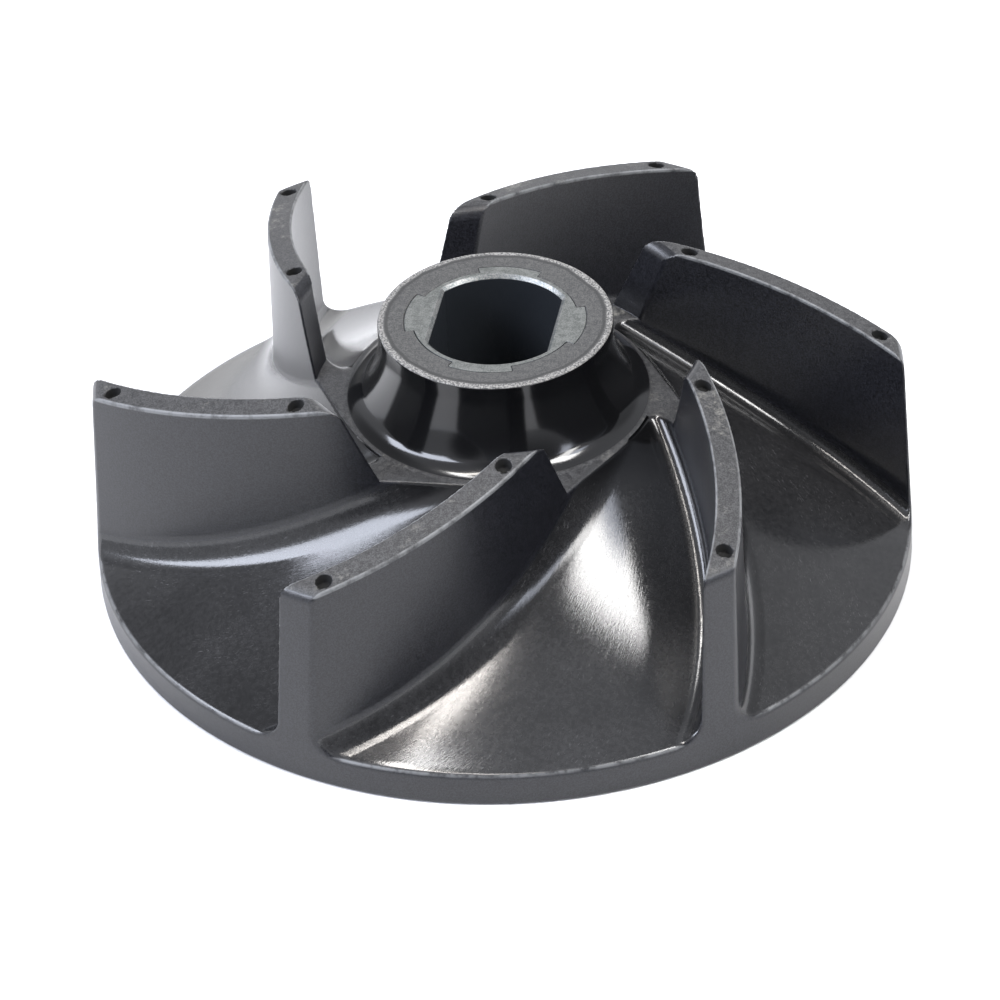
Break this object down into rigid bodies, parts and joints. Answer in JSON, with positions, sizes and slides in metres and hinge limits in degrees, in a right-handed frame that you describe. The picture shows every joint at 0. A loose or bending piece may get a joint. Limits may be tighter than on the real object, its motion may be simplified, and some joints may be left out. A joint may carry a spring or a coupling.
{
  "type": "water pump impeller",
  "caption": "Open water pump impeller: a moulded disc with backward-curved vanes round a flared hub, and a metal insert with a double-D shaft bore.",
  "frame": {"origin": "on the wheel's axis, at the level of the underside that the rim stands on", "axes": "+Z along the wheel's axis from the underside towards the vanes and the hub's top face; X square to the two flats of the shaft bore"},
  "size_m": [0.056, 0.056, 0.0192],
  "materials": {
    "moulding": "polished black mould finish on the floor and hub, satin on the vanes' sides, sanded grey on the top edges",
    "insert_metal": "dull grey, ground flat at the ends"
  },
  "bodies": {
    "root": {"back_plate": "moulding", "hub_boss": "moulding", "hub_insert": "insert_metal", "vane_1": "moulding", "vane_2": "moulding", "vane_3": "moulding", "vane_4": "moulding", "vane_5": "moulding", "vane_6": "moulding"}
  },
  "joints": []
}
